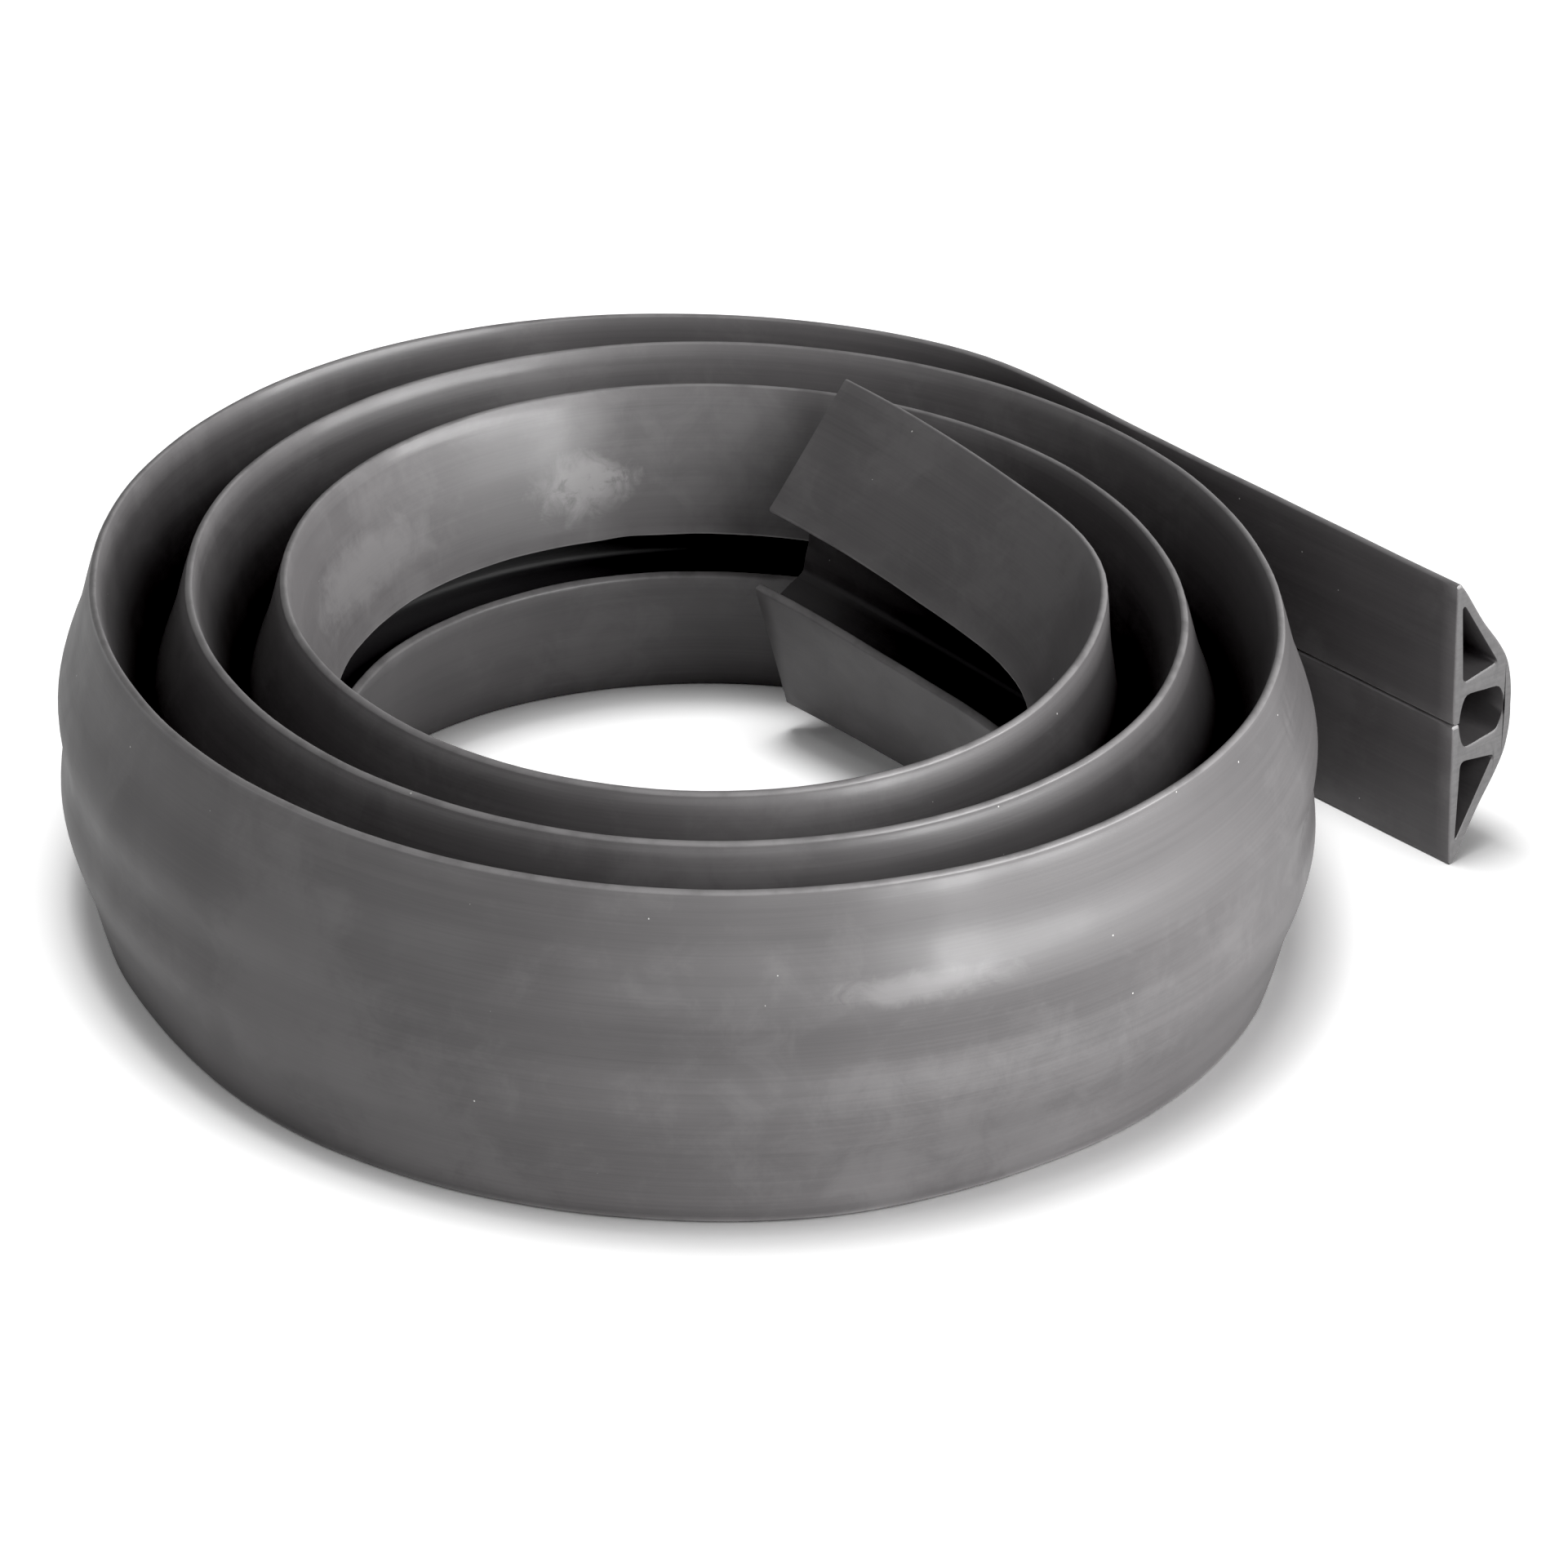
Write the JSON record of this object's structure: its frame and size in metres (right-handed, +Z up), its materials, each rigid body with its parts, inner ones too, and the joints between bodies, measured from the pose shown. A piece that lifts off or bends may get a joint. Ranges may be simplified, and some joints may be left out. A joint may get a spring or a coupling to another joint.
{
  "type": "cable raceway",
  "caption": "Coiled rubber floor strip that covers cables: a domed section with a slit centre channel and closed side channels.",
  "frame": {"origin": "middle of the part's box in plan, at the floor that the coil stands on", "axes": "+X along the straight tail towards its cut end, +Z up along the coil's axis, and +Y out through the tail's crown"},
  "size_m": [0.271, 0.2648, 0.075],
  "materials": {
    "rubber": "satin grey extruded rubber with fine lengthwise draw lines"
  },
  "bodies": {
    "root": {"raceway": "rubber"}
  },
  "joints": []
}
